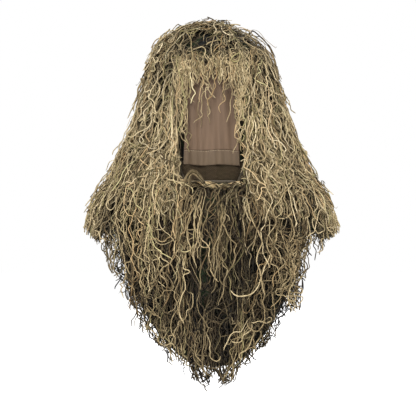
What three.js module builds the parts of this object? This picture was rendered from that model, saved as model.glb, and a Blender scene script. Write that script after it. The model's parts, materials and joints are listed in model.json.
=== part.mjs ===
// A ghillie hood: a netting hood with a shoulder mantle, a chest bib and a back cape,
// covered in hanging yarn, with a sheer face veil in its face opening.
//
// Millimetres, +Z up, the wearer faces -Y, and the wearer's left is +X.
// The origin is inside the top of the crown, where the hood bears on the head.
import * as THREE from 'three';

// Thicknesses and gaps
const NET = 2.5;
const TAPE_PROUD = { inside: 0.5, outside: 1 };
const SEAM_GAP = 0.3;
const CURVED_GAP = 2;
const ROW_GAP = 1;
const YARN_FROM = 5;
const YARN_DEPTH = 26;
const CROWN_YARN_DEPTH = 18;
const BROW_YARN = { from: 8, depth: 14 };
const HINGE_YARN_DEPTH = 8;

// Heights of the seams and edges, from the top down
const CROWN_TOP_EDGE = -9;
const CROWN_YARN_EDGE = -46;
const CROWN_SEAM = -50;
const BROW_EDGE = -58;
const BINDING_WIDTH = 8;
const VEIL_FOLD = -66;
const EAR_LEVEL = -150;
const VEIL_STITCH = -203;
const CHIN_NET_TOP = -219;
const VEIL_BOTTOM = -227;
const CHIN_EDGE = -252;
const NECK_SEAM = -257;
const YOKE_EDGE = -318;
const FLAP_TOP = -328;
const SHOULDER_HEM = -333;
const FLAP_SHOULDER = -345;
const BROW_TAPE_WIDTH = 5.4;
const SHOULDER_TAPE_WIDTH = 6.7;

// Angles round the hood, in degrees: 0 is the centre front and 90 the wearer's left
const BACK = 180;
const CROWN_FRONT_ANGLE = 40;
const EAR_ANGLE = 100;
const SEAM_ANGLE = 0.4;
const YARN_SEAM_ANGLE = 0.5;
const SHOULDER_SEAM_ANGLE = 1.2;
const SHOULDER_TAPE_INSET = 3;

// The face opening is an oval that the brow panel and the chin net close above and below
const OPENING = { halfWidth: 64, halfHeight: 120, centre: -155, squareness: 3 };

// The chest bib and the back cape: their width at the shoulders and how far they hang
const FLAP_ANGLE = 58;
const FLAP_NET = { halfWidth: 150, drop: 215 };
const FLAP_YARN = { halfWidth: 165, drop: 235 };
const FLAP_TAPER = { start: 1.5, end: 0.6 };
const FLAP_COLUMN = 55;
const FLAP_ROWS = [FLAP_TOP, -400, -470, -574];
const FLAP_NET_HEM = -551;
const HEM_WIDTH = 12;
const HINGE_TAPER = 30;

// The face veil and the strands that hang over it
const VEIL = { halfWidth: 46, y: -101, bulge: 7, curl: 6, thickness: 0.8, hemThickness: 1.6 };
const VEIL_TAPE = { halfWidth: 35, top: -51, bottom: -58, offset: 3.2, thickness: 1, gap: 0.4 };
const FRINGE = { halfWidth: 42, y: -112, thickness: 2.4, band: 5, strand: 2.6 };
const FRINGE_LENGTHS = [98, 132, 110, 141, 104, 126, 92];

const CHIN_ROLL = { angle: 24, z: -265, offset: 12, radius: 5 };
const SWEATBAND = { top: -24, bottom: -48, from: -4.5, to: -1.2 };
const NAPE_TAPE = { halfWidth: 9, inset: 3, from: -2.2, to: -1 };

// Levels of the inner face of the hood: height, half-width at the side, depth in front and
// behind, and the power that squares the section from an oval at the head to a flat chest
const LEVELS = [
  { z: 0, width: 0, front: 0, back: 0, square: 1 },
  { z: -8, width: 46, front: 52, back: 54, square: 1 },
  { z: -38, width: 76, front: 86, back: 90, square: 1 },
  { z: -90, width: 91, front: 98, back: 104, square: 1 },
  { z: -150, width: 107, front: 96, back: 104, square: 1 },
  { z: -205, width: 127, front: 98, back: 101, square: 0.95 },
  { z: -255, width: 151, front: 108, back: 107, square: 0.85 },
  { z: -305, width: 176, front: 124, back: 120, square: 0.72 },
  { z: -350, width: 184, front: 131, back: 127, square: 0.62 },
  { z: -405, width: 184, front: 137, back: 133, square: 0.58 },
  { z: -460, width: 184, front: 139, back: 135, square: 0.58 },
  { z: -520, width: 184, front: 137, back: 133, square: 0.58 },
  { z: -580, width: 184, front: 134, back: 130, square: 0.58 },
];

const ANGLE_STEP = 10;
const LEVEL_STEP = 0.5;
const DEGREE = Math.PI / 180;

const ALL_ROUND = { from: 0, to: 360, ring: true };

const FINISHES = {
  yarn: { color: 0x9a8a6c, roughness: 0.95, metalness: 0 },
  net: { color: 0x3d3526, roughness: 0.9, metalness: 0 },
  binding: { color: 0x4a4030, roughness: 0.85, metalness: 0 },
  veil: { color: 0x9c8468, roughness: 0.8, metalness: 0 },
  tape: { color: 0x2c2a22, roughness: 0.9, metalness: 0 },
};

const hood = new THREE.Group();

function addPiece(name, finish, geometry) {
  const mesh = new THREE.Mesh(geometry, new THREE.MeshStandardMaterial(FINISHES[finish]));
  mesh.name = name;
  hood.add(mesh);
}

// ---- the surface of the hood -------------------------------------------------------------

function catmullRom(a, b, c, d, t) {
  const slope0 = (c - a) / 2;
  const slope1 = (d - b) / 2;
  const t2 = t * t;
  const t3 = t2 * t;
  return (2 * t3 - 3 * t2 + 1) * b + (t3 - 2 * t2 + t) * slope0
    + (3 * t2 - 2 * t3) * c + (t3 - t2) * slope1;
}

// A column of LEVELS at a level number; above the apex the section is mirrored
function levelValue(key, level) {
  const last = LEVELS.length - 1;
  const start = Math.min(Math.floor(level), last - 1);
  const mirror = key === 'z' || key === 'square' ? 1 : -1;
  const at = (n) => (n < 0 ? mirror * LEVELS[-n][key] : LEVELS[Math.min(n, last)][key]);
  return catmullRom(at(start - 1), at(start), at(start + 1), at(start + 2), level - start);
}

function levelAtHeight(z) {
  let above = 0;
  let below = LEVELS.length - 1;
  for (let turn = 0; turn < 40; turn += 1) {
    const middle = (above + below) / 2;
    if (levelValue('z', middle) > z) {
      above = middle;
    } else {
      below = middle;
    }
  }
  return (above + below) / 2;
}

// angle is 0 at the centre front, 90 at the wearer's left and 180 at the centre back
function surfacePoint(angle, level) {
  const across = Math.sin(angle * DEGREE);
  const along = Math.cos(angle * DEGREE);
  const depth = levelValue(along > 0 ? 'front' : 'back', level);
  const reach = Math.sign(along) * Math.abs(along) ** levelValue('square', level);
  return new THREE.Vector3(
    levelValue('width', level) * across, -depth * reach, levelValue('z', level));
}

function surfaceNormal(angle, level) {
  if (level < 0.01) {
    return new THREE.Vector3(0, 0, 1);
  }
  const last = LEVELS.length - 1;
  const around = surfacePoint(angle + 1, level).sub(surfacePoint(angle - 1, level));
  const down = surfacePoint(angle, Math.min(level + 0.02, last))
    .sub(surfacePoint(angle, level - 0.02));
  return down.cross(around).normalize();
}

function offsetPoint(angle, level, offset) {
  return surfacePoint(angle, level).addScaledVector(surfaceNormal(angle, level), offset);
}

// The angle at which the surface reaches a half-width x at a height z
function angleAtWidth(x, z) {
  const width = levelValue('width', levelAtHeight(z));
  return Math.asin(Math.min(x / width, 1)) / DEGREE;
}

// ---- closed solids -----------------------------------------------------------------------

// Joins equal corners and drops the faces that collapse where a row of corners meets
function solidFromGrid(corners, quads) {
  const numbers = new Map();
  const positions = [];
  const index = corners.map((corner) => {
    const key = corner.toArray().map((value) => value.toFixed(4)).join(' ');
    if (!numbers.has(key)) {
      numbers.set(key, numbers.size);
      positions.push(corner.x, corner.y, corner.z);
    }
    return numbers.get(key);
  });
  const faces = [];
  for (const [a, b, c, d] of quads) {
    for (const triangle of [[a, b, c], [a, c, d]]) {
      const joined = triangle.map((corner) => index[corner]);
      if (new Set(joined).size === 3) {
        faces.push(...joined);
      }
    }
  }
  const geometry = new THREE.BufferGeometry();
  geometry.setAttribute('position', new THREE.Float32BufferAttribute(positions, 3));
  geometry.setIndex(faces);
  geometry.computeVertexNormals();
  return geometry;
}

// A slab of columns by rows: place(across, down, side) gives its corners, where across and
// down run from 0 to 1 and side is 0 on the inner face and 1 on the outer one
function slab(columns, rows, place, ring = false) {
  const corners = [];
  const corner = (side, row, column) => {
    const wrapped = ring ? column % columns : column;
    return (side * (rows + 1) + row) * (columns + 1) + wrapped;
  };
  for (let side = 0; side < 2; side += 1) {
    for (let row = 0; row <= rows; row += 1) {
      for (let column = 0; column <= columns; column += 1) {
        corners.push(place(column / columns, row / rows, side));
      }
    }
  }
  const quads = [];
  for (let row = 0; row < rows; row += 1) {
    for (let column = 0; column < columns; column += 1) {
      const near = [corner(1, row, column), corner(1, row + 1, column),
        corner(1, row + 1, column + 1), corner(1, row, column + 1)];
      const far = [corner(0, row, column), corner(0, row, column + 1),
        corner(0, row + 1, column + 1), corner(0, row + 1, column)];
      quads.push(near, far);
    }
  }
  for (let column = 0; column < columns; column += 1) {
    quads.push([corner(0, 0, column), corner(1, 0, column),
      corner(1, 0, column + 1), corner(0, 0, column + 1)]);
    quads.push([corner(0, rows, column), corner(0, rows, column + 1),
      corner(1, rows, column + 1), corner(1, rows, column)]);
  }
  for (let row = 0; row < rows && !ring; row += 1) {
    quads.push([corner(0, row, 0), corner(0, row + 1, 0),
      corner(1, row + 1, 0), corner(1, row, 0)]);
    quads.push([corner(0, row, columns), corner(1, row, columns),
      corner(1, row + 1, columns), corner(0, row + 1, columns)]);
  }
  return solidFromGrid(corners, quads);
}

const fixed = (value) => (typeof value === 'function' ? value : () => value);

// A patch of the hood between two heights, two angles (numbers, or functions of the height)
// and two offsets (numbers, or functions of the height)
function patch({ top, bottom, from, to, inner, outer, ring = false }) {
  const [fromAt, toAt, innerAt, outerAt] = [from, to, inner, outer].map(fixed);
  const levelTop = top === 0 ? 0 : levelAtHeight(top);
  const levelBottom = levelAtHeight(bottom);
  const rows = Math.max(1, Math.round((levelBottom - levelTop) / LEVEL_STEP));
  const middle = (top + bottom) / 2;
  const span = Math.max(...[top, middle, bottom].map((z) => toAt(z) - fromAt(z)));
  const columns = Math.max(1, Math.round(span / ANGLE_STEP));
  return slab(columns, rows, (across, down, side) => {
    const level = THREE.MathUtils.lerp(levelTop, levelBottom, down);
    const z = levelValue('z', level);
    const angle = THREE.MathUtils.lerp(fromAt(z), toAt(z), across);
    return offsetPoint(angle, level, side === 1 ? outerAt(z) : innerAt(z));
  }, ring);
}

// The same patch on the wearer's left (+X) and right (-X)
function addPair(name, finish, shape) {
  const [fromAt, toAt] = [shape.from, shape.to].map(fixed);
  addPiece(`${name}_left`, finish, patch(shape));
  addPiece(`${name}_right`, finish,
    patch({ ...shape, from: (z) => -toAt(z), to: (z) => -fromAt(z) }));
}

// A patch that is the same on both sides of the centre front
function centred(shape) {
  const toAt = fixed(shape.to);
  return patch({ ...shape, from: (z) => -toAt(z) });
}

// ---- edges -------------------------------------------------------------------------------

function openingHalfWidth(z) {
  const { halfWidth, halfHeight, centre, squareness } = OPENING;
  const reach = Math.abs((z - centre) / halfHeight) ** squareness;
  return halfWidth * (1 - Math.min(reach, 1)) ** (1 / squareness);
}

const openingAngle = (inset) => (z) => angleAtWidth(openingHalfWidth(z) - inset, z);

// The edge of a bib or cape: its full angle at the shoulder, then a rounded point
function flapHalfWidth(flap, z) {
  const drop = THREE.MathUtils.clamp((FLAP_SHOULDER - z) / flap.drop, 0, 1);
  return flap.halfWidth * (1 - drop ** FLAP_TAPER.start) ** FLAP_TAPER.end;
}

const PROUD = { inner: -TAPE_PROUD.inside, outer: NET + TAPE_PROUD.outside };

const flapAngle = (flap) => (z) => Math.min(FLAP_ANGLE, angleAtWidth(flapHalfWidth(flap, z), z));

// The yarn thins out towards the line where a bib or cape lifts
function yarnOuter(z) {
  const clear = Math.min(1, Math.min(Math.abs(z - YOKE_EDGE), Math.abs(z - FLAP_TOP)) / HINGE_TAPER);
  const isNear = z < YOKE_EDGE + HINGE_TAPER && z > FLAP_TOP - HINGE_TAPER;
  return isNear ? THREE.MathUtils.lerp(HINGE_YARN_DEPTH, YARN_DEPTH, clear) : YARN_DEPTH;
}

// ---- netting -----------------------------------------------------------------------------

function addNetting() {
  const net = { inner: 0, outer: NET };
  addPiece('crown_cap', 'net', patch({
    ...net, ...ALL_ROUND, top: 0, bottom: CROWN_SEAM + SEAM_GAP }));
  addPiece('brow_panel', 'net', centred({
    ...net, top: CROWN_SEAM, bottom: BROW_EDGE, to: openingAngle(BINDING_WIDTH + CURVED_GAP) }));
  addPair('hood_side', 'net', {
    ...net, top: CROWN_SEAM, bottom: NECK_SEAM + SEAM_GAP,
    from: openingAngle(-CURVED_GAP), to: BACK - SEAM_ANGLE });
  addPiece('chin_net', 'net', centred({
    ...net, top: CHIN_NET_TOP, bottom: CHIN_EDGE, to: openingAngle(BINDING_WIDTH + CURVED_GAP) }));
  addPiece('yoke_front', 'net', centred({
    ...net, top: NECK_SEAM, bottom: YOKE_EDGE, to: FLAP_ANGLE }));
  addPiece('yoke_back', 'net', patch({
    ...net, top: NECK_SEAM, bottom: YOKE_EDGE, from: BACK - FLAP_ANGLE, to: BACK + FLAP_ANGLE }));
  addPair('shoulder_panel', 'net', {
    ...net, top: NECK_SEAM, bottom: SHOULDER_HEM,
    from: FLAP_ANGLE + SEAM_ANGLE, to: BACK - FLAP_ANGLE - SEAM_ANGLE });
  addFlapNet('bib', 0);
  addFlapNet('cape', BACK);
}

// A bib or cape panel round its centre angle, with a hem tape along its bottom edge
function addFlapNet(name, centre) {
  const edge = flapAngle(FLAP_NET);
  const sides = { from: (z) => centre - edge(z), to: (z) => centre + edge(z) };
  const hemTop = FLAP_NET_HEM + HEM_WIDTH;
  addPiece(`${name}_panel`, 'net', patch({
    ...sides, top: FLAP_TOP, bottom: hemTop + SEAM_GAP, inner: 0, outer: NET }));
  addPiece(`${name}_hem_tape`, 'binding', patch({
    ...sides, ...PROUD, top: hemTop, bottom: FLAP_NET_HEM }));
}

function addBindings() {
  const inside = openingAngle(BINDING_WIDTH + CURVED_GAP);
  addPair('face_binding', 'binding', {
    ...PROUD, top: CROWN_SEAM, bottom: NECK_SEAM + SEAM_GAP,
    from: openingAngle(BINDING_WIDTH), to: openingAngle(0) });
  addPiece('brow_binding', 'binding', centred({
    ...PROUD, top: BROW_EDGE - SEAM_GAP, bottom: BROW_EDGE - SEAM_GAP - BROW_TAPE_WIDTH,
    to: inside }));
  addPiece('chin_binding', 'binding', centred({
    ...PROUD, top: CHIN_EDGE - SEAM_GAP, bottom: NECK_SEAM + SEAM_GAP, to: inside }));
  addPair('shoulder_hem_tape', 'binding', {
    ...PROUD, top: SHOULDER_HEM - SEAM_GAP, bottom: SHOULDER_HEM - SEAM_GAP - SHOULDER_TAPE_WIDTH,
    from: FLAP_ANGLE + SHOULDER_TAPE_INSET, to: BACK - FLAP_ANGLE - SHOULDER_TAPE_INSET });
  addPiece('sweatband', 'tape', patch({
    ...ALL_ROUND, top: SWEATBAND.top, bottom: SWEATBAND.bottom,
    inner: SWEATBAND.from, outer: SWEATBAND.to }));
  const half = (z) => angleAtWidth(NAPE_TAPE.halfWidth, z);
  addPiece('nape_seam_tape', 'binding', patch({
    from: (z) => BACK - half(z), to: (z) => BACK + half(z), top: CROWN_SEAM - NAPE_TAPE.inset,
    bottom: NECK_SEAM + NAPE_TAPE.inset, inner: NAPE_TAPE.from, outer: NAPE_TAPE.to }));
}

// ---- yarn --------------------------------------------------------------------------------

function addCrownYarn() {
  const yarn = { inner: YARN_FROM, outer: CROWN_YARN_DEPTH };
  addPiece('yarn_crown_top', 'yarn', patch({
    ...yarn, ...ALL_ROUND, top: 0, bottom: CROWN_TOP_EDGE }));
  // The yarn on the sides of the crown gets deeper on its way down
  const deepening = (z) => THREE.MathUtils.mapLinear(
    z, CROWN_TOP_EDGE, CROWN_YARN_EDGE, CROWN_YARN_DEPTH, YARN_DEPTH);
  const below = { ...yarn, top: CROWN_TOP_EDGE - ROW_GAP, bottom: CROWN_YARN_EDGE };
  const back = BACK - CROWN_FRONT_ANGLE;
  addPiece('yarn_crown_front', 'yarn', centred({
    ...below, outer: BROW_YARN.depth, to: CROWN_FRONT_ANGLE - 2 * YARN_SEAM_ANGLE }));
  addPair('yarn_crown', 'yarn', {
    ...below, outer: deepening, from: CROWN_FRONT_ANGLE, to: back - 2 * YARN_SEAM_ANGLE });
  addPiece('yarn_crown_back', 'yarn', patch({
    ...below, outer: deepening, from: back, to: BACK + CROWN_FRONT_ANGLE }));
}

function addHeadYarn() {
  const yarn = { inner: YARN_FROM, outer: YARN_DEPTH };
  const upper = { ...yarn, top: CROWN_YARN_EDGE - ROW_GAP, bottom: EAR_LEVEL };
  const lower = { ...yarn, top: EAR_LEVEL - ROW_GAP, bottom: NECK_SEAM };
  const front = { from: openingAngle(-ROW_GAP), to: EAR_ANGLE - YARN_SEAM_ANGLE };
  const back = { from: EAR_ANGLE + YARN_SEAM_ANGLE, to: BACK - YARN_SEAM_ANGLE };
  addPair('yarn_temple', 'yarn', { ...upper, ...front });
  addPair('yarn_back_of_head', 'yarn', { ...upper, ...back });
  addPair('yarn_cheek', 'yarn', { ...lower, ...front });
  addPair('yarn_nape', 'yarn', { ...lower, ...back });
  // It ends above the brow tape, clear of the strands that swing up with the veil
  addPiece('yarn_brow', 'yarn', centred({
    top: CROWN_YARN_EDGE - ROW_GAP, bottom: BROW_EDGE + 4, inner: BROW_YARN.from,
    outer: BROW_YARN.depth, to: openingAngle(BINDING_WIDTH) }));
}

function addMantleYarn() {
  const yarn = { inner: YARN_FROM, outer: yarnOuter, top: NECK_SEAM - ROW_GAP, bottom: YOKE_EDGE };
  const shoulderFrom = FLAP_ANGLE + SHOULDER_SEAM_ANGLE;
  addPiece('yarn_yoke_front', 'yarn', centred({
    ...yarn, top: CHIN_ROLL.z - CHIN_ROLL.radius - 2, to: FLAP_ANGLE }));
  addPiece('yarn_yoke_back', 'yarn', patch({
    ...yarn, from: BACK - FLAP_ANGLE, to: BACK + FLAP_ANGLE }));
  addPair('yarn_shoulder', 'yarn', {
    ...yarn, outer: YARN_DEPTH, bottom: FLAP_SHOULDER,
    from: shoulderFrom, to: BACK - shoulderFrom });
}

// The yarn of a bib or cape in three rows: side, middle and side above, one piece at the hem
function addFlapYarn(name, centre) {
  const edge = flapAngle(FLAP_YARN);
  const column = (z) => angleAtWidth(FLAP_COLUMN, z);
  const rowNames = ['upper', 'lower'];
  const yarn = { inner: YARN_FROM, outer: yarnOuter };
  rowNames.forEach((rowName, row) => {
    const heights = { top: FLAP_ROWS[row] - (row > 0 ? ROW_GAP : 0), bottom: FLAP_ROWS[row + 1] };
    const columns = {
      right: [(z) => -edge(z), (z) => -column(z) - SEAM_ANGLE],
      centre: [(z) => -column(z), (z) => column(z)],
      left: [(z) => column(z) + SEAM_ANGLE, (z) => edge(z)],
    };
    for (const [columnName, [from, to]] of Object.entries(columns)) {
      const sides = centre === BACK
        ? { from: (z) => BACK - to(z), to: (z) => BACK - from(z) }
        : { from, to };
      addPiece(`yarn_${name}_${rowName}_${columnName}`, 'yarn',
        patch({ ...yarn, ...heights, ...sides }));
    }
  });
  addPiece(`yarn_${name}_hem`, 'yarn', patch({
    ...yarn, top: FLAP_ROWS[2] - ROW_GAP, bottom: FLAP_ROWS[3],
    from: (z) => centre - edge(z), to: (z) => centre + edge(z) }));
}

// A thick twisted roll of yarn along the lower lip of the face opening
function addChinRoll() {
  const level = levelAtHeight(CHIN_ROLL.z);
  const points = [];
  for (let angle = -CHIN_ROLL.angle; angle <= CHIN_ROLL.angle; angle += 10) {
    points.push(offsetPoint(angle, level, CHIN_ROLL.offset));
  }
  const section = new THREE.Shape();
  section.absarc(0, 0, CHIN_ROLL.radius, 0, 2 * Math.PI);
  addPiece('chin_roll', 'yarn', new THREE.ExtrudeGeometry(section, {
    extrudePath: new THREE.CatmullRomCurve3(points), steps: 14, curveSegments: 8 }));
}

// ---- face veil ---------------------------------------------------------------------------

// A point of the veil: it bulges over the nose and curls back at its two edges
function veilPoint(across, z, thickness) {
  const x = THREE.MathUtils.lerp(-VEIL.halfWidth, VEIL.halfWidth, across);
  const down = (VEIL_FOLD - z) / (VEIL_FOLD - VEIL_BOTTOM);
  const y = VEIL.y - VEIL.bulge * Math.sin(down * Math.PI * 0.75)
    + VEIL.curl * (x / VEIL.halfWidth) ** 2;
  return new THREE.Vector3(x, y - thickness, z);
}

function addVeil() {
  const sheet = (top, bottom, rows, thickness) => slab(8, rows, (across, down, side) => veilPoint(
    across, THREE.MathUtils.lerp(top, bottom, down), thickness * (side - 0.5)));
  addPiece('face_veil', 'veil', sheet(VEIL_FOLD - 1, VEIL_STITCH, 7, VEIL.thickness));
  addPiece('veil_hem', 'veil', sheet(VEIL_STITCH - SEAM_GAP, VEIL_BOTTOM, 2, VEIL.hemThickness));
  addVeilTape('veil_hook_tape', VEIL_TAPE.offset);
  addVeilTape('veil_loop_tape', VEIL_TAPE.offset + VEIL_TAPE.thickness + VEIL_TAPE.gap);
}

function addVeilTape(name, offset) {
  const { halfWidth, top, bottom, thickness } = VEIL_TAPE;
  addPiece(name, 'tape', centred({
    top, bottom, inner: offset, outer: offset + thickness, to: (z) => angleAtWidth(halfWidth, z) }));
}

// The few strands that hang from the brow in front of the veil, as a comb with long teeth
function addBrowFringe() {
  const { halfWidth, band, strand } = FRINGE;
  const outline = new THREE.Shape();
  outline.moveTo(-halfWidth, 0);
  const pitch = (2 * halfWidth - strand) / (FRINGE_LENGTHS.length - 1);
  FRINGE_LENGTHS.forEach((length, number) => {
    const left = -halfWidth + number * pitch;
    if (number > 0) {
      outline.lineTo(left, -band);
    }
    outline.lineTo(left, -length);
    outline.lineTo(left + strand, -length);
    if (number < FRINGE_LENGTHS.length - 1) {
      outline.lineTo(left + strand, -band);
    }
  });
  outline.lineTo(halfWidth, 0);
  const geometry = new THREE.ExtrudeGeometry(outline, {
    depth: FRINGE.thickness, bevelEnabled: false });
  geometry.rotateX(Math.PI / 2);
  geometry.translate(0, FRINGE.y + FRINGE.thickness, VEIL_FOLD - 1);
  addPiece('brow_fringe', 'yarn', geometry);
}

addNetting();
addBindings();
addCrownYarn();
addHeadYarn();
addMantleYarn();
addFlapYarn('bib', 0);
addFlapYarn('cape', BACK);
addChinRoll();
addVeil();
addBrowFringe();

export default hood;
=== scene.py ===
import collections
import json
import math

import bpy
import numpy as np
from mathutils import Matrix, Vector


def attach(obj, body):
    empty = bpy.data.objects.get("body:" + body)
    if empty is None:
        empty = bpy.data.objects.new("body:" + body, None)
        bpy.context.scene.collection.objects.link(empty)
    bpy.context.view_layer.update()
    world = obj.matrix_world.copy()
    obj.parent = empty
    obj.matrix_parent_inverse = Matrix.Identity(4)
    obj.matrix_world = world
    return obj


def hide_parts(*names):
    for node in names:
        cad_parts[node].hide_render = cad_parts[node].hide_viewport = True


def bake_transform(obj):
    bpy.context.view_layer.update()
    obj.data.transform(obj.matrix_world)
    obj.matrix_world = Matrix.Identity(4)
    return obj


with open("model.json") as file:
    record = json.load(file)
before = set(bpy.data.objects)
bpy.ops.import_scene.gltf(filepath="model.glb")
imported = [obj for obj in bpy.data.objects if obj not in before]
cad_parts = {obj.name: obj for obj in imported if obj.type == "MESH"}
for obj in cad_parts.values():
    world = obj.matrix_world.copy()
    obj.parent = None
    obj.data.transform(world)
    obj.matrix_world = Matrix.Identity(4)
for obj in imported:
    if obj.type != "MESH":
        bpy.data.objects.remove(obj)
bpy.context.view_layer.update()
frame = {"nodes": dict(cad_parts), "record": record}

MM = 0.001
SEED = 840

# The inner face of the hood, as the CAD model has it, in millimetres: height, half-width,
# depth in front, depth behind, and the power that squares the section towards the chest.
# The last level is only for loose ends below the hem.
LEVELS = np.array([
    [0, 0, 0, 0, 1],
    [-8, 46, 52, 54, 1],
    [-38, 76, 86, 90, 1],
    [-90, 91, 98, 104, 1],
    [-150, 107, 96, 104, 1],
    [-205, 127, 98, 101, 0.95],
    [-255, 151, 108, 107, 0.85],
    [-305, 176, 124, 120, 0.72],
    [-350, 184, 131, 127, 0.62],
    [-405, 184, 137, 133, 0.58],
    [-460, 184, 139, 135, 0.58],
    [-520, 184, 137, 133, 0.58],
    [-580, 184, 134, 130, 0.58],
    [-640, 184, 131, 127, 0.58],
], float)
LAST_LEVEL = len(LEVELS) - 1

# Seams and edges of the netting, in millimetres, as the CAD model has them
CROWN_SEAM = -50
BROW_EDGE = -58
NECK_SEAM = -257
YOKE_EDGE = -318
FLAP_TOP = -328
SHOULDER_HEM = -333
CHIN_NET_TOP = -219
CHIN_EDGE = -252
FLAP_SHOULDER = -345
FLAP_NET_HEM = -551
FLAP_ANGLE = 58
OPENING = {"half_width": 64, "half_height": 120, "centre": -155, "squareness": 3}
BINDING_WIDTH = 8

# The two flaps, and the angle of their centre lines
FLAPS = {"bib": 0, "cape": 180}
# Points at a flap's fold, in metres, for the pieces that hang over it
NET_BEND = (0, 0, YOKE_EDGE * MM), (0, 0, FLAP_TOP * MM)
YARN_BEND = (0, 0, -0.300), (0, 0, -0.345)
# A flap's outline below FLAP_SHOULDER, of its netting and of the yarn, which hangs past it:
# half-width, drop to the tip, and the powers that round the corners and the tip
NET_OUTLINE = (150, 215, 1.5, 0.6)
YARN_OUTLINE = (174, 248, 1.7, 0.75)
# The lowest yarn of the shoulders, which hangs longer towards the bib: x, z
SHOULDER_FLOOR = [(140, -425), (165, -405), (176, -378), (192, -354), (206, -346), (215, -340)]


# ---- the surface of the hood ----

def level_values(level):
    """Height, half-width, front depth, back depth and squareness at each level number."""
    mirrored = LEVELS[1] * np.array([1, -1, -1, -1, 1])
    table = np.vstack([mirrored, LEVELS, LEVELS[-1:], LEVELS[-1:]])
    level = np.clip(np.asarray(level, float), 0, LAST_LEVEL)
    start = np.minimum(level.astype(int), LAST_LEVEL - 1)
    t = (level - start)[..., None]
    a, b, c, d = (table[start + shift] for shift in range(4))
    slope0, slope1 = (c - a) / 2, (d - b) / 2
    return ((2 * t**3 - 3 * t**2 + 1) * b + (t**3 - 2 * t**2 + t) * slope0
            + (3 * t**2 - 2 * t**3) * c + (t**3 - t**2) * slope1)


FIRST_LEVEL = 0.03
ANGLE_REACH = 0.8
LEVEL_REACH = 0.02
LEVEL_GRID = np.linspace(0, LAST_LEVEL, 1201)
HEIGHT_GRID = level_values(LEVEL_GRID)[:, 0]


def level_at(z):
    """The level number at a height in millimetres."""
    return np.interp(-np.asarray(z, float), -HEIGHT_GRID, LEVEL_GRID)


def surface(angle, level):
    """Points of the inner face in millimetres. Angle 0 is the centre front, 90 the left."""
    values = level_values(level)
    across, along = np.sin(np.radians(angle)), np.cos(np.radians(angle))
    depth = np.where(along > 0, values[..., 2], values[..., 3])
    reach = np.sign(along) * np.abs(along) ** values[..., 4]
    return np.stack([values[..., 1] * across, -depth * reach, values[..., 0]], -1)


def unit(vectors):
    return vectors / np.maximum(np.linalg.norm(vectors, axis=-1, keepdims=True), 1e-9)


def surface_frame(angle, level):
    """The point, its step per degree, its step per level, and its outward normal."""
    level = np.clip(level, FIRST_LEVEL, LAST_LEVEL)
    around = surface(angle + ANGLE_REACH, level) - surface(angle - ANGLE_REACH, level)
    down = surface(angle, level + LEVEL_REACH) - surface(angle, level - LEVEL_REACH)
    around, down = around / (2 * ANGLE_REACH), down / (2 * LEVEL_REACH)
    return surface(angle, level), around, down, unit(np.cross(down, around))


def offset_points(angle, level, offset):
    point, _, _, normal = surface_frame(angle, level)
    return point + normal * np.asarray(offset)[..., None]


def angle_at_width(x, z):
    """The angle, in degrees, where the surface is x millimetres from the centre."""
    width = level_values(level_at(z))[..., 1]
    return np.degrees(np.arcsin(np.clip(x / np.maximum(width, 1), -1, 1)))


def opening_half_width(z):
    reach = np.abs((z - OPENING["centre"]) / OPENING["half_height"]) ** OPENING["squareness"]
    return OPENING["half_width"] * (1 - np.minimum(reach, 1)) ** (1 / OPENING["squareness"])


def flap_half_width(z, outline):
    half_width, drop, corners, tip = outline
    fall = np.clip((FLAP_SHOULDER - z) / drop, 0, 1)
    return half_width * (1 - fall**corners) ** tip


# ---- meshes ----

def placed(name, data):
    """A new object in the scene."""
    obj = bpy.data.objects.new(name, data)
    bpy.context.scene.collection.objects.link(obj)
    return obj


def mesh_object(name, points, quads, caps=None):
    """A mesh object from points in metres, four-cornered faces, and cap faces of any size."""
    mesh = bpy.data.meshes.new(name)
    mesh.vertices.add(len(points))
    mesh.vertices.foreach_set("co", np.asarray(points, np.float32).ravel())
    corners = [quads.ravel()]
    totals = [np.full(len(quads), 4)]
    if caps is not None:
        corners.append(caps.ravel())
        totals.append(np.full(len(caps), caps.shape[1]))
    corners, totals = np.concatenate(corners), np.concatenate(totals)
    mesh.loops.add(len(corners))
    mesh.loops.foreach_set("vertex_index", corners.astype(np.int32))
    mesh.polygons.add(len(totals))
    starts = np.concatenate([[0], np.cumsum(totals)[:-1]])
    mesh.polygons.foreach_set("loop_start", starts.astype(np.int32))
    mesh.polygons.foreach_set("loop_total", totals.astype(np.int32))
    mesh.polygons.foreach_set("use_smooth", np.full(len(totals), True))
    mesh.update(calc_edges=True)
    return placed(name, mesh)


def sheet_mesh(name, grid, thickness, ring=False):
    """A closed sheet of cloth from a grid of points (rows, columns, xyz) in millimetres,
    thickened by half of its thickness to each side."""
    rows, columns = grid.shape[:2]
    down = np.gradient(grid, axis=0)
    across = np.gradient(grid, axis=1)
    if ring:
        across = np.roll(grid, -1, 1) - np.roll(grid, 1, 1)
    normal = unit(np.cross(down, across)) * thickness / 2
    points = np.concatenate([(grid + normal).reshape(-1, 3), (grid - normal).reshape(-1, 3)])
    over = np.arange(rows * columns).reshape(rows, columns)
    if ring:
        over = np.concatenate([over, over[:, :1]], 1)
    under = over + rows * columns
    quads = [
        (over[:-1, :-1], over[1:, :-1], over[1:, 1:], over[:-1, 1:]),
        (under[:-1, :-1], under[:-1, 1:], under[1:, 1:], under[1:, :-1]),
        (over[0, :-1], over[0, 1:], under[0, 1:], under[0, :-1]),
        (over[-1, :-1], under[-1, :-1], under[-1, 1:], over[-1, 1:]),
    ]
    if not ring:
        quads += [
            (over[:-1, 0], under[:-1, 0], under[1:, 0], over[1:, 0]),
            (over[:-1, -1], over[1:, -1], under[1:, -1], under[:-1, -1]),
        ]
    faces = [np.stack(corners, -1).reshape(-1, 4) for corners in quads]
    return mesh_object(name, points * MM, np.concatenate(faces))


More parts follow.
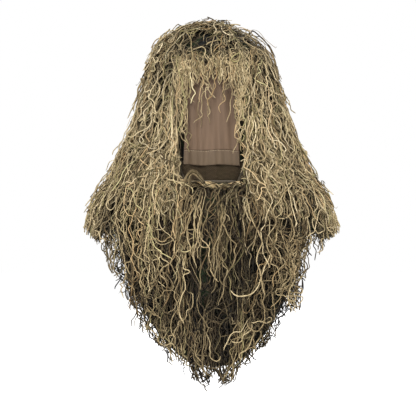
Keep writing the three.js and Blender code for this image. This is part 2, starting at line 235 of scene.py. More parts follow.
def tubes_mesh(name, paths, radius, sides):
    """Closed tubes along paths (tube, step, xyz) in millimetres, with radius (tube, step).
    The UV layer runs round the tube in U and along it, in millimetres, in V."""
    count, steps = paths.shape[:2]
    tangent = unit(np.gradient(paths, axis=1))
    side = np.empty_like(paths)
    start = unit(np.cross(tangent[:, 0], [0.31, 0.17, 0.93]))
    side[:, 0] = start
    for step in range(1, steps):
        along = np.sum(side[:, step - 1] * tangent[:, step], -1, keepdims=True)
        side[:, step] = unit(side[:, step - 1] - along * tangent[:, step])
    other = np.cross(tangent, side)
    turn = 2 * np.pi * np.arange(sides) / sides
    ring = (side[:, :, None] * np.cos(turn)[:, None] + other[:, :, None] * np.sin(turn)[:, None])
    points = paths[:, :, None] + ring * radius[:, :, None, None]
    number = np.arange(count * steps * sides).reshape(count, steps, sides)
    after = np.roll(number, -1, 2)
    quads = np.stack([number[:, :-1], after[:, :-1], after[:, 1:], number[:, 1:]], -1)
    caps = np.concatenate([number[:, 0, ::-1], number[:, -1]])
    obj = mesh_object(name, points.reshape(-1, 3) * MM, quads.reshape(-1, 4), caps)
    add_tube_uv(obj, paths, sides, len(caps))
    return obj


def add_tube_uv(obj, paths, sides, caps):
    count, steps = paths.shape[:2]
    run = np.linalg.norm(np.diff(paths, axis=1), axis=-1).cumsum(1)
    run = np.concatenate([np.zeros((count, 1)), run], 1)
    near = np.arange(sides) / sides
    shape = (count, steps - 1, sides)
    u0, u1 = (np.broadcast_to(near + shift / sides, shape) for shift in (0, 1))
    v0, v1 = (np.broadcast_to(r[:, :, None], shape) for r in (run[:, :-1], run[:, 1:]))
    corners = np.stack([u0, v0, u1, v0, u1, v1, u0, v1], -1).reshape(-1)
    layer = obj.data.uv_layers.new(name="Strand")
    layer.data.foreach_set("uv", np.concatenate([corners, np.zeros(caps * sides * 2)]))


def paint(obj, colours):
    """A colour at each point of a mesh."""
    layer = obj.data.color_attributes.new("strand", "FLOAT_COLOR", "POINT")
    full = np.concatenate([colours, np.ones((len(colours), 1))], 1)
    layer.data.foreach_set("color", full.astype(np.float32).ravel())


# ---- materials ----

class Shader:
    """A material with a Principled shader and short calls to add nodes to it."""

    def __init__(self, name, **settings):
        self.material = bpy.data.materials.new(name)
        self.material.use_nodes = True
        self.tree = self.material.node_tree
        self.main = self.tree.nodes["Principled BSDF"]
        for socket, value in settings.items():
            self.main.inputs[socket.replace("_", " ")].default_value = value

    def node(self, kind, inputs=(), **settings):
        node = self.tree.nodes.new("ShaderNode" + kind)
        for key, value in settings.items():
            setattr(node, key, value)
        for key, value in dict(inputs).items():
            if isinstance(value, bpy.types.NodeSocket):
                self.tree.links.new(value, node.inputs[key])
            else:
                node.inputs[key].default_value = value
        return node

    def set(self, socket, value):
        self.tree.links.new(value, self.main.inputs[socket])

    def math(self, operation, a, b=0.0):
        return self.node("Math", {0: a, 1: b}, operation=operation).outputs[0]

    def times(self, a, b):
        return self.math("MULTIPLY", a, b)

    def multiply(self, a, b, factor=1.0):
        return self.node("Mix", {0: factor, 6: a, 7: b},
                         data_type="RGBA", blend_type="MULTIPLY").outputs[2]

    def colour(self, colour, shade, factor=1.0):
        """Sets the base colour: a colour darkened by a value, by a factor."""
        grey = self.node("CombineColor", {i: shade for i in range(3)})
        self.set("Base Color", self.multiply(colour, grey.outputs[0], factor))

    def place(self):
        return self.node("TexCoord").outputs["Object"]

    def axes(self):
        return self.node("SeparateXYZ", {0: self.place()}).outputs

    def noise(self, scale, detail=3.0, roughness=0.55):
        return self.node("TexNoise", {
            "Vector": self.place(), "Scale": scale, "Detail": detail, "Roughness": roughness,
        }).outputs["Fac"]

    def ramp(self, value, stops, interpolation="LINEAR"):
        node = self.node("ValToRGB", {0: value})
        node.color_ramp.interpolation = interpolation
        elements = node.color_ramp.elements
        while len(elements) < len(stops):
            elements.new(0.5)
        for element, (position, colour) in zip(elements, stops):
            element.position = position
            element.color = (*colour, 1)
        return node.outputs["Color"]

    def bump(self, height, distance):
        node = self.node("Bump", {
            "Height": height, "Distance": distance, "Strength": 1.0})
        self.set("Normal", node.outputs[0])


YARN_TINTS = [
    (0.0, (0.016, 0.011, 0.006)), (0.28, (0.085, 0.060, 0.029)), (0.52, (0.243, 0.181, 0.092)),
    (0.78, (0.45, 0.357, 0.204)), (1.0, (0.615, 0.51, 0.33)),
]
YARN_HUES = [
    (0.0, (0.84, 0.94, 0.76)), (0.2, (1.0, 1.0, 1.0)), (0.8, (1.0, 1.0, 1.0)),
    (1.0, (1.0, 0.86, 0.74)),
]
PLY_PITCH = 5.0


def yarn_material():
    """Two-ply jute-like yarn: the colour goes by strand, with the twist as grooves that get
    painted shade, and darkened by the painted shade each strand carries.
    """
    shader = Shader("yarn", Roughness=0.9, Sheen_Weight=0.03, Sheen_Roughness=0.5,
                    Specular_IOR_Level=0.15)
    strand = shader.node("Attribute", attribute_name="strand")
    parts = shader.node("SeparateColor", {0: strand.outputs["Color"]})
    # tint: the yarn's own colour. light: painted shade, darker in lower layers and towards the
    # root. each: a random number for the hue
    tint, light, each = parts.outputs
    blotch = shader.times(shader.math("SUBTRACT", shader.noise(150.0, 2.0), 0.5), 0.6)
    base = shader.ramp(shader.math("ADD", tint, blotch), YARN_TINTS)
    base = shader.multiply(base, shader.ramp(each, YARN_HUES))
    uv = shader.node("UVMap", uv_map="Strand").outputs[0]
    place = shader.node("SeparateXYZ", {0: uv})
    twist = shader.math("ADD", shader.times(place.outputs[0], 2.0),
                        shader.math("DIVIDE", place.outputs[1], PLY_PITCH))
    wave = shader.math("ABSOLUTE", shader.math("SINE", shader.times(twist, math.pi)))
    groove = shader.math("POWER", wave, 0.6)
    # Painted shade: darker in the grooves between the plies, then times the strand's painted
    # shade
    shade = shader.math("ADD", shader.times(groove, 0.35), 0.65)
    shader.colour(base, shader.times(shade, light))
    shader.bump(groove, 0.0004)
    return shader.material


def netting_material():
    """Dark woodland print on a close-knitted net, with painted shade in its holes."""
    shader = Shader("printed_netting", Roughness=0.85, Specular_IOR_Level=0.15)
    print_colour = shader.ramp(shader.noise(22.0, 3.0, 0.6), [
        (0.0, (0.010, 0.010, 0.009)), (0.42, (0.018, 0.026, 0.012)),
        (0.5, (0.045, 0.034, 0.020)), (0.6, (0.085, 0.070, 0.042))], "CONSTANT")
    holes = shader.node("TexVoronoi", {
        "Vector": shader.place(), "Scale": 520.0, "Randomness": 0.25,
    }, feature="F1").outputs["Distance"]
    # The holes of the knit are painted dark: painted shade seen through them
    thread = shader.math("MINIMUM", shader.times(holes, 1.8), 1.0)
    shader.colour(print_colour, thread, 0.75)
    shader.bump(holes, 0.0006)
    return shader.material


def woven_material(name, colour, scale, sheen=0.12):
    """Woven tape: fine ribs both ways in one colour that varies a little."""
    shader = Shader(name, Roughness=0.85, Sheen_Weight=sheen, Specular_IOR_Level=0.2)
    axes = shader.axes()
    ribs = [shader.math("SINE", shader.times(axes[i], scale)) for i in (0, 2)]
    weave = shader.times(ribs[0], ribs[1])
    level = shader.math("ADD", shader.times(weave, 0.17), 0.83)
    patchy = shader.math("ADD", shader.times(shader.noise(60.0), 0.4), 0.8)
    shader.colour((*colour, 1), shader.times(level, patchy))
    shader.bump(weave, 0.0003)
    return shader.material


VOILE_THREADS = 6500.0
SLUB_SCALE = (260.0, 260.0, 24.0)


def veil_material(name, colour, alpha):
    """Sheer beige voile."""
    shader = Shader(name, Roughness=0.7, Sheen_Weight=0.1, Sheen_Roughness=0.4,
                    Specular_IOR_Level=0.3, Alpha=alpha)
    threads = shader.math("SINE", shader.times(shader.axes()[0], VOILE_THREADS))
    slubs = shader.node("Mapping", {"Vector": shader.place(), "Scale": SLUB_SCALE})
    streaks = shader.node("TexNoise", {
        "Vector": slubs.outputs[0], "Scale": 1.0, "Detail": 2.0}).outputs["Fac"]
    value = shader.math("ADD", 0.72, shader.times(streaks, 0.5))
    value = shader.math("ADD", value, shader.times(threads, 0.02))
    shader.colour((*colour, 1), value)
    shader.bump(streaks, 0.0004)
    return shader.material


FINISH = {
    "yarn": yarn_material(),
    "net": netting_material(),
    "binding": woven_material("binding_tape", (0.075, 0.058, 0.036), 4200.0),
    "tape": woven_material("hook_and_band_tape", (0.035, 0.032, 0.022), 3200.0),
    "veil": veil_material("voile", (0.090, 0.055, 0.032), 0.86),
    "veil_hem": veil_material("voile_double", (0.073, 0.048, 0.027), 0.92),
    "thread": woven_material("sewing_thread", (0.42, 0.33, 0.22), 5000.0),
    "cord_net": woven_material("net_thread", (0.040, 0.026, 0.012), 2600.0, sheen=0.0),
}


# ---- yarn ----

STEP_LENGTH = 4.0
TUBE_SIDES = 4
YARN_RADIUS = 0.92
FIRST_LIFT = 2.6
EDGE_TUFTS = 15
LIP_TUFTS = 9
COLLAR_ROWS = [-222, -240, -257]
COLLAR_TUFTS = 11

# Ranges for single strands: how soon they straighten and rise, the distance between bends, how
# far they stand off and reach over the face opening's edge (mm), and turns (radians)
LEAN_RUN = (18, 45)
RISE_RUN = (8, 24)
SWAY_SPACING = (45, 80)
WANDER_SPACING = (17, 34)
KINK_SPACING = (6, 12)
LIFT_SPACING = (10, 20)
LOOSE_LIFT = (2, 11)
OPENING_OVERLAP = (12, 20)
ARCH_START = (1.3, 2.6)
CURL_TURN = (1.2, 3.6)
CURL_FROM = 0.65
SHARP_BENDS = 2.2

# Strands get painted shade at the root and are fully lit ROOT_RUN on; LIT_LENGTH stands for any
# length
PAINTED_ROOT_LIGHT = 0.3
ROOT_RUN = 50
LIT_LENGTH = 400

# Half-width that strands keep clear in front of the veil, running down and hanging over it
CLEAR_OF_VEIL = 47.0
CLEAR_HALF_WIDTH = 46
# Places on the front of the crown where the yarn is thin and the netting shows: x, z, radius
THIN_PATCHES = [(-14, -17, 15), (44, 4, 17), (-44, -70, 12), (30, -36, 9)]

# How the yarn is tied and hangs in a zone, in mm and radians. pitch: distance between tufts.
# strands: strands in a tuft. lengths: shortest and longest strand. lean: sideways start. sway:
# swing of a whole tuft. wander and kink: long and short bends of each strand. arch: share of
# tufts that start upwards and fall over. curl: share of strands with a curled end. tint: 0 dark
# to 1 pale. deep: the painted shade of the lowest layer, as how light it looks. top: height of
# the highest layer.
Style = collections.namedtuple(
    "Style", "pitch strands lengths lean sway wander kink arch curl tint deep top")
STYLES = {
    "crown_top": Style(16, 7, (35, 80), 0.9, 0.4, 0.5, 0.48, 0.35, 0.22, 0.66, 0.1, 17),
    "crown_front": Style(16, 7, (35, 85), 0.7, 0.36, 0.5, 0.46, 0.3, 0.22, 0.63, 0.08, 18),
    "crown": Style(16, 7, (55, 120), 0.6, 0.32, 0.44, 0.44, 0.25, 0.2, 0.68, 0.1, 27),
    "temple": Style(18, 7, (100, 190), 0.35, 0.2, 0.3, 0.36, 0.15, 0.12, 0.69, 0.12, 27),
    "back_of_head": Style(19, 7, (100, 190), 0.35, 0.2, 0.3, 0.36, 0.15, 0.12, 0.68, 0.12, 27),
    "cheek": Style(18, 7, (80, 170), 0.45, 0.26, 0.36, 0.38, 0.2, 0.18, 0.65, 0.1, 26),
    "nape": Style(19, 7, (80, 170), 0.45, 0.26, 0.36, 0.38, 0.2, 0.18, 0.65, 0.1, 26),
    "brow": Style(13, 6, (14, 34), 0.7, 0.3, 0.45, 0.4, 0.2, 0.15, 0.58, 0.1, 17),
    # The collar, yoke, side, centre and hem zones hang over the bib and the cape: their low tints
    # are partly the yarn's colour and partly painted shade where the hood shades them
    "collar": Style(26, 7, (110, 190), 0.35, 0.22, 0.3, 0.36, 0.12, 0.05, 0.43, 0.1, 32),
    "shoulder": Style(17, 7, (55, 120), 0.8, 0.35, 0.48, 0.42, 0.3, 0.3, 0.62, 0.06, 30),
    "yoke": Style(32, 9, (120, 200), 0.16, 0.18, 0.14, 0.3, 0.06, 0.1, 0.36, 0.02, 28),
    "side": Style(22, 8, (70, 150), 0.6, 0.32, 0.42, 0.42, 0.2, 0.3, 0.34, 0.03, 30),
    "centre": Style(38, 10, (140, 230), 0.1, 0.16, 0.12, 0.3, 0.03, 0.08, 0.37, 0.02, 28),
    "hem": Style(22, 8, (50, 130), 0.6, 0.32, 0.42, 0.42, 0.15, 0.35, 0.42, 0.04, 28),
}


def style_of(node):
    """The style whose name is in the node's name, the longest such name first."""
    plain = node.replace("left", "side").replace("right", "side")
    if "_bib_" not in node and "_cape_" not in node:
        plain = plain.replace("_side", "")
    return max((name for name in STYLES if name in plain), key=len)


def inner_face(node):
    """The triangles on the inner face of a CAD yarn solid, in millimetres, and their areas."""
    mesh = frame["nodes"][node].data
    mesh.calc_loop_triangles()
    corners = np.array([[mesh.vertices[i].co for i in t.vertices]
                        for t in mesh.loop_triangles], float) / MM
    cross = np.cross(corners[:, 1] - corners[:, 0], corners[:, 2] - corners[:, 0])
    middle = corners.mean(1)
    outward = middle * [1, 1, 0] + [0, 0, 40] * (middle[:, 2:] > -60)
    facing_in = np.sum(unit(cross) * unit(outward), -1) < -0.35
    return corners[facing_in], np.linalg.norm(cross[facing_in], axis=-1) / 2


def scattered(corners, areas, pitch, rng):
    """Points on triangles, about pitch millimetres apart and never much closer."""
    tries = 7 * max(4, int(areas.sum() / pitch**2))
    picked = corners[rng.choice(len(areas), tries, p=areas / areas.sum())]
    a, b = rng.random((2, tries, 1))
    swap = a + b > 1
    a, b = np.where(swap, 1 - a, a), np.where(swap, 1 - b, b)
    first, second, third = np.moveaxis(picked, 1, 0)
    points = first + a * (second - first) + b * (third - first)
    chosen = points[:1]
    for point in points[1:]:
        if np.min(np.linalg.norm(chosen - point, axis=1)) > pitch * 0.74:
            chosen = np.vstack([chosen, point])
    return chosen


def inner_roots(node, pitch, rng):
    """Places on the inner face of a CAD yarn solid, as angles and levels."""
    x, y, z = scattered(*inner_face(node), pitch, rng).T
    angle = angle_at_width(x, z)
    angle = np.where(y > 0, 180 - angle, angle)
    angle = np.where(z > -30, np.degrees(np.arctan2(x, -y)), angle)
    return (angle + 180) % 360 - 180, np.maximum(level_at(np.minimum(z, -0.5)), 0.08)


def edge_roots(node):
    """Places of the rows of yarn that frame the face opening, on its sides and lower lip."""
    if node == "yarn_yoke_front":
        x = np.linspace(-52, 52, LIP_TUFTS)
        z = np.full(LIP_TUFTS, NECK_SEAM - 4.0)
        return angle_at_width(x, z), level_at(z)
    if "temple" not in node and "cheek" not in node:
        return np.empty(0), np.empty(0)
    limits = (BROW_EDGE + 6, -146) if "temple" in node else (-150, CHIN_EDGE)
    z = np.linspace(*limits, EDGE_TUFTS)
    angle = angle_at_width(opening_half_width(z) - 5, z)
    return angle * (1 if "left" in node else -1), level_at(z)


def noise_along(run, spacing, rng, sharp=1.0):
    """Random values every spacing millimetres along each strand, joined by slopes. The sharper
    the slopes, the more the strand looks kinked instead of curved."""
    count = len(run)
    place = run / spacing[:, None] + rng.random(count)[:, None]
    knots = rng.normal(0, 1, (count, int(place.max()) + 2))
    low = place.astype(int)
    share = np.clip((place - low - 0.5) * sharp + 0.5, 0, 1)
    row = np.arange(count)[:, None]
    return knots[row, low] * (1 - share) + knots[row, low + 1] * share


def headings(run, lengths, style, tuft, rng):
    """Which way each strand runs at each step, in radians: 0 is straight down the hood."""
    count, tufts = len(lengths), tuft.max() + 1
    lean = rng.normal(0, style.lean, tufts)
    arched = rng.random(tufts) < style.arch
    upward = rng.uniform(*ARCH_START, tufts) * rng.choice([-1, 1], tufts)
    lean = np.where(arched, upward, lean)[tuft] + rng.normal(0, style.lean * 0.6, count)
    heading = lean[:, None] * np.exp(-run / rng.uniform(*LEAN_RUN, count)[:, None])
    tuft_run = np.broadcast_to(run.max(0), (tufts, run.shape[1]))
    heading += style.sway * noise_along(tuft_run, rng.uniform(*SWAY_SPACING, tufts), rng)[tuft]
    wild = np.exp(rng.normal(0, 0.45, count))[:, None]
    for size, spacing in ((style.wander, WANDER_SPACING), (style.kink, KINK_SPACING)):
        heading += wild * size * noise_along(run, rng.uniform(*spacing, count), rng, SHARP_BENDS)
    curled = rng.random(count) < style.curl
    turn = np.where(curled, rng.uniform(*CURL_TURN, count) * rng.choice([-1, 1], count), 0.0)
    near_end = np.clip((run / lengths[:, None] - CURL_FROM) / (1 - CURL_FROM), 0, 1)
    return heading + turn[:, None] * near_end**1.5


def lifts(run, lengths, style, tuft, rng):
    """How far each strand stands off the hood's inner face at each step, and how near it is to
    the top layer, from 0 to 1."""
    count, tufts = len(lengths), tuft.max() + 1
    nearness = 1 - rng.random(tufts)[tuft] ** 1.4 * 0.85 + rng.normal(0, 0.10, count)
    layer = FIRST_LIFT + (style.top - FIRST_LIFT) * np.clip(nearness, 0.05, 1)
    rise = 1 - np.exp(-run / rng.uniform(*RISE_RUN, count)[:, None])
    lift = FIRST_LIFT + (layer[:, None] - FIRST_LIFT) * rise
    lift += 1.8 * rise * noise_along(run, rng.uniform(*LIFT_SPACING, count), rng)
    loose = np.where(rng.random(count) < 0.3, rng.uniform(*LOOSE_LIFT, count), 0.0)
    lift += loose[:, None] * np.clip(run / lengths[:, None], 0, 1) ** 2
    return np.maximum(lift, FIRST_LIFT), np.clip(nearness, 0, 1)


def beside_opening(angle, level, side, overlap):
    """Keeps strands that run down beside the face opening from slipping into it."""
    z = level_values(level)[..., 0]
    clear = CLEAR_OF_VEIL + (OPENING_OVERLAP[1] - overlap) * 0.8
    least = angle_at_width(np.maximum(opening_half_width(z) - overlap, clear), z)
    beside = (np.abs(angle) < 90) & (side * angle > least - 8)
    beside &= (z < BROW_EDGE + 12) & (z > CHIN_EDGE)
    return np.where(beside, side * (least + np.abs(side * angle - least)), angle)


def drawn_in(point, angle):
    """How far the strands near the side edges of the bib and the cape turn to the middle."""
    edge = np.maximum(flap_half_width(point[:, 2], YARN_OUTLINE), 20)
    reach = np.clip(np.abs(point[:, 0]) / edge, 0, 1.2)
    inward = -np.sign(point[:, 0]) * np.where(np.abs(angle) > 90, -1, 1)
    return inward * 0.45 * reach**2


def grow(angle, level, style, lengths, kind, tuft, rng):
    """Strands that run down the hood from their roots: points (strand, step, xyz), and how
    near each strand is to the top layer."""
    count = len(angle)
    steps = int(style.lengths[1] / STEP_LENGTH) + 2
    run = np.linspace(0, 1, steps) * lengths[:, None]
    heading = headings(run, lengths, style, tuft, rng)
    lift, nearness = lifts(run, lengths, style, tuft, rng)
    overlap = rng.uniform(*OPENING_OVERLAP, count)
    points = np.empty((count, steps, 3))
    side = np.where(angle >= 0, 1.0, -1.0)
    stride = lengths / (steps - 1)
    for step in range(steps):
        point, around, down, normal = surface_frame(angle, level)
        points[:, step] = point + normal * lift[:, step, None]
        direction = heading[:, step]
        if kind == "flap":
            direction = direction + drawn_in(point, angle)
        across_scale = np.maximum(np.linalg.norm(around, axis=-1), 0.25)
        down_scale = np.maximum(np.linalg.norm(down, axis=-1), 5)
        angle = angle + np.sin(direction) * stride / across_scale
        level = level + np.cos(direction) * stride / down_scale
        level = np.clip(level, FIRST_LEVEL, LAST_LEVEL)
        if kind == "hood":
            angle = beside_opening(angle, level, side, overlap)
    return points, nearness


def in_opening(x, y, z):
    """Which points hang in front of the clear middle of the face opening."""
    return (np.abs(x) < CLEAR_HALF_WIDTH) & (y < 0) & (z < BROW_EDGE - 6) & (z > CHIN_EDGE)


def inside_flap(x, y, z, loose):
    """Within the ragged edges of the bib or cape, which end in tongues of yarn."""
    ragged = 6 * np.sin(z * 0.11 + np.sign(x)) + 4 * np.sin(z * 0.23)
    edge = flap_half_width(z, YARN_OUTLINE) - 24 + 30 * loose + ragged
    tongues = 20 * np.sin(x * 0.13 + 1.2) + 12 * np.sin(x * 0.31)
    low = -559 - 44 * loose**1.4 + 0.75 * np.maximum(np.abs(x) - 22, 0) + tongues * loose
    return (np.abs(x) < edge) & (z > low) & ~in_opening(x, y, z)


def inside_shoulder(x, y, z, loose):
    return z > np.interp(np.abs(x), *zip(*SHOULDER_FLOOR)) + 22 * (1 - loose) ** 2


def inside_brow(x, y, z, loose):
    return z > BROW_EDGE - 7 * loose


def inside_hood(x, y, z, loose):
    """Between the top of the crown and the shoulders, and off the thin patches."""
    bare = np.zeros(x.shape, bool)
    for patch_x, patch_z, radius in THIN_PATCHES:
        bare |= np.hypot(x - patch_x, z - patch_z) < radius * (0.4 + 0.6 * loose)
    at_flap = np.abs(x) < np.abs(y) * 1.7
    floor = np.where(at_flap, -325.0, -345.0) + 16 * (1 - loose)
    dome = 17 - 12 * (x / 61) ** 2 + 8 * loose
    return (z > floor) & (z < dome) & ~in_opening(x, y, z) & ~(bare & (y < 0) & (loose > 0.3))


# Which points keep inside the outline, for each kind of yarn. Loose strands, up to 1, hang out.
INSIDE = {"flap": inside_flap, "shoulder": inside_shoulder, "brow": inside_brow,
          "hood": inside_hood}


def kind_of(node):
    if "_bib_" in node or "_cape_" in node or "yoke" in node:
        return "flap"
    if "shoulder" in node:
        return "shoulder"
    return "brow" if node == "yarn_brow" else "hood"


def cut_off(points, inside):
    """Cuts each strand where it first leaves the outline, and spreads its steps again."""
    count, steps = inside.shape
    first_out = np.where(inside.all(1), steps, np.argmax(~inside, axis=1))
    share = np.maximum(first_out - 1, 0) / (steps - 1)
    place = np.linspace(0, 1, steps) * (share * (steps - 1))[:, None]
    low = np.minimum(place.astype(int), steps - 2)
    part = (place - low)[..., None]
    row = np.arange(count)[:, None]
    return points[row, low] * (1 - part) + points[row, low + 1] * part, share


def tones(style, kind, points, nearness, tuft, rng):
    """The tint of each strand, the painted shade at its root, and the painted shade of its layer.
    """
    count = len(points)
    tone = style.tint + rng.normal(0, 0.07, tuft.max() + 1)[tuft] + rng.normal(0, 0.11, count)
    tone -= np.where(rng.random(count) < 0.12, 0.4, 0)
    shading, painted_root_light = 1.6, np.full(count, PAINTED_ROOT_LIGHT)
    if kind == "flap":
        # Painted shade on the bib and cape: strands in lower layers get a darker tint, those on
        # top a paler one
        tone += 0.6 * (nearness - 0.7)
        root, tip = points[:, 0], points[:, -1]
        # Near the shoulders the strands get a paler tint and less painted shade at the root and
        # by layer: painted light where the shoulders catch it
        at_shoulder = np.clip((root[:, 2] + 420) / 90, 0, 1) * (np.abs(root[:, 0]) > 60)
        tone += 0.08 * at_shoulder
        at_edge = np.abs(tip[:, 0]) > 0.72 * flap_half_width(tip[:, 2], YARN_OUTLINE)
        tone -= np.where(at_edge & (rng.random(count) < 0.3), 0.3, 0)
        painted_root_light += 0.6 * at_shoulder
        shading = 2.4 - 0.8 * at_shoulder
    # Painted shade by layer: deep for the lowest layer, full light for the top one
    return tone, painted_root_light, style.deep + (1 - style.deep) * nearness ** shading


def strands_from(name, style, tuft_angle, tuft_level, kind, rng):
    """Tufts of strands tied at the given places, as one mesh."""
    tuft = np.repeat(np.arange(len(tuft_angle)), style.strands)
    count = len(tuft)
    width = np.maximum(level_values(tuft_level[tuft])[:, 1], 12)
    angle = tuft_angle[tuft] + np.degrees(rng.normal(0, 2.0, count) / width)
    level = np.maximum(tuft_level[tuft] + rng.normal(0, 0.04, count), FIRST_LEVEL)
    tuft_length = rng.uniform(*style.lengths, tuft.max() + 1)[tuft]
    lengths = np.clip(tuft_length * rng.uniform(0.7, 1.15, count), *style.lengths)
    points, nearness = grow(angle, level, style, lengths, kind, tuft, rng)
    loose = rng.random(tuft.max() + 1)[tuft] * 0.7 + rng.random(count) * 0.3
    points, share = cut_off(points, INSIDE[kind](*np.moveaxis(points, -1, 0), loose[:, None]))
    keep = share > 0.2
    tone, painted_root_light, light = tones(style, kind, points, nearness, tuft, rng)
    radius = YARN_RADIUS * rng.uniform(0.75, 1.15, count)
    radius *= np.where(rng.random(count) < 0.2, 0.5, 1)
    return strand_mesh(name, points[keep], radius[keep], tone[keep], light[keep], rng,
                       (lengths * share)[keep, None], painted_root_light[keep, None])


def strand_mesh(name, points, radius, tone, light, rng, lengths=LIT_LENGTH, root=PAINTED_ROOT_LIGHT):
    """Strands as tubes, painted with their tint, their painted shade, which is darkest at the
    root, and a random number.
    """
    count, steps = points.shape[:2]
    taper = np.ones(steps)
    taper[-2:] = 0.85, 0.5
    obj = tubes_mesh(name, points, radius[:, None] * taper, TUBE_SIDES)
    # Painted shade: strands are darkest at the root and fully lit ROOT_RUN on
    from_root = np.clip(np.linspace(0, 1, steps) * lengths / ROOT_RUN, 0, 1)
    light = light[:, None] * (root + (1 - root) * from_root)
    each = rng.random(count)
    channels = [np.broadcast_to(c, light.shape) for c in (
        np.clip(tone, 0.02, 1)[:, None], light, each[:, None])]
    colours = np.stack(channels, -1).reshape(-1, 3)
    paint(obj, np.repeat(colours, TUBE_SIDES, axis=0))
    return obj


def finish_piece(obj, material, slot, body, nodes, blend_to=None, start=None, end=None):
    """Gives a piece its material and hides the CAD nodes it stands for; without blend_to it gives
    the piece its body, with it it applies the piece's transform instead. The record slot is not
    used.
    """
    obj.data.materials.clear()
    obj.data.materials.append(FINISH[material])
    if blend_to:
        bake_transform(obj)
    else:
        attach(obj, body)
    if nodes:
        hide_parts(*nodes)
    return obj


def body_of_node(node):
    bodies = frame["record"]["behaviour"]["bodies"]
    return next(name for name, nodes in bodies.items() if node in nodes)


def make_all_yarn():
    """One mesh of strands for each CAD yarn solid."""
    made = {}
    bends = {"yarn_yoke_front": ("bib", *YARN_BEND), "yarn_yoke_back": ("cape", *YARN_BEND)}
    nodes = sorted(name for name in frame["nodes"] if name.startswith("yarn_"))
    for number, node in enumerate(nodes):
        rng = np.random.default_rng(SEED + number)
        style = STYLES[style_of(node)]
        roots = zip(inner_roots(node, style.pitch, rng), edge_roots(node))
        angle, level = (np.concatenate(pair) for pair in roots)
        name = node.replace("yarn_", "strands_")
        obj = strands_from(name, style, angle, level, kind_of(node), rng)
        made[node] = finish_piece(obj, "yarn", "yarn", body_of_node(node), [node],
                                  *bends.get(node, ()))
    return made


def add_collar_yarn():
    """Long strands tied in rows above the front and back yokes, which hang over the bib
    and the cape."""
    for number, (word, body) in enumerate((("front", "bib"), ("back", "cape"))):
        rng = np.random.default_rng(SEED + 600 + number)
        row, place = np.meshgrid(COLLAR_ROWS, np.linspace(-52, 52, COLLAR_TUFTS))
        across = place.ravel() + rng.normal(0, 3, row.size)
        height = row.ravel() + rng.normal(0, 3, row.size)
        open_face = (body == "bib") & (height > NECK_SEAM + 2)
        least = angle_at_width(opening_half_width(height), height) * open_face
        across = np.sign(across) * np.maximum(np.abs(across), least)
        obj = strands_from(f"strands_collar_{word}", STYLES["collar"], FLAPS[body] + across,
                           level_at(height), "flap", rng)
        finish_piece(obj, "yarn", "yarn", "hood", [], body, *YARN_BEND)


# ---- netting, tapes and veil ----

def at(limit, z):
    """A limit of a patch at each height: a number, or a function of the height."""
    return np.broadcast_to(limit(z) if callable(limit) else limit, z.shape)


def patch_grid(top, bottom, from_at, to_at, offset, angle_step=3.0, height_step=7.0, ring=False):
    """Points (row, column, xyz) of a part of the hood's surface, in millimetres."""
    levels = np.linspace(0.02 if top == 0 else level_at(top), level_at(bottom),
                         max(2, int(abs(top - bottom) / height_step) + 2))
    z = level_values(levels)[:, 0]
    low, high = at(from_at, z), at(to_at, z)
    columns = max(2, int(np.max(high - low) / angle_step) + 1)
    share = np.linspace(0, 1, columns + 1 if not ring else columns, endpoint=not ring)
    angle = low[:, None] + (high - low)[:, None] * share
    level = np.broadcast_to(levels[:, None], angle.shape)
    return offset_points(angle, level, np.full(angle.shape, offset))


def opening_angle(inset):
    return lambda z: angle_at_width(opening_half_width(z) - inset, z)


def mirrored(from_at, to_at, side):
    """Angle limits on the wearer's left (side 1) or right (side -1)."""
    if side > 0:
        return from_at, to_at
    return (lambda z: -at(to_at, z)), (lambda z: -at(from_at, z))


def both_sides(centre, edge):
    """Angle limits that lie edge(z) degrees to either side of a centre line."""
    return (lambda z: centre - edge(z)), (lambda z: centre + edge(z))


def flap_edge(z):
    return np.minimum(FLAP_ANGLE, angle_at_width(flap_half_width(z, NET_OUTLINE), z))


def strip(centre, half_width):
    return both_sides(centre, lambda z: angle_at_width(half_width, z))


NET_THICKNESS = 1.1
NET_OFFSET = 0.8
TAPE_THICKNESS = 1.5
TAPE_OFFSET = 1.2
HEM_TAPE = 12
SEAM_GAP = 0.3
SEAM_ANGLE = 0.4


def add_panel(name, node, area, bends_to=None, ring=False):
    """A panel of netting that stands for a CAD node."""
    grid = patch_grid(*area, ring=ring)
    obj = sheet_mesh(name, grid, NET_THICKNESS, ring)
    finish_piece(obj, "net", "net", body_of_node(node), [node], bends_to, *NET_BEND)


def add_netting(yarn, tapes):
    """The sewn panels of printed netting."""
    def tied(*words):
        return [obj for node, obj in yarn.items() if any(w in node for w in words)]
    add_panel("netting_crown", "crown_cap", (0, CROWN_SEAM + SEAM_GAP, 0, 360, NET_OFFSET),
              ring=True)
    for word, body, sewn in (("front", "bib", [tapes["chin_tape"]]), ("back", "cape", [])):
        centre = FLAPS[body]
        area = NECK_SEAM, FLAP_TOP, centre - FLAP_ANGLE, centre + FLAP_ANGLE, NET_OFFSET
        add_panel(f"netting_yoke_{word}", f"yoke_{word}", area, body)
    for side, word in ((1, "left"), (-1, "right")):
        head = mirrored(opening_angle(-2), 180 - SEAM_ANGLE, side)
        shoulder = mirrored(FLAP_ANGLE + SEAM_ANGLE, 180 - SEAM_ANGLE - FLAP_ANGLE, side)
        parts = tied(*(f"{part}_{word}" for part in ("temple", "back_of_head", "cheek", "nape")))
        parts += [tapes[f"face_tape_{word}"]] + [tapes["nape_tape"]] * (side > 0)
        add_panel(f"netting_hood_{word}", f"hood_side_{word}",
                  (CROWN_SEAM, NECK_SEAM + SEAM_GAP, *head, NET_OFFSET))
        add_panel(f"netting_shoulder_{word}", f"shoulder_panel_{word}",
                  (NECK_SEAM, SHOULDER_HEM, *shoulder, NET_OFFSET))
    for name, centre in FLAPS.items():
        add_panel(f"netting_{name}", f"{name}_panel",
                  (FLAP_TOP, FLAP_NET_HEM + HEM_TAPE + SEAM_GAP, *both_sides(centre, flap_edge),
                   NET_OFFSET))


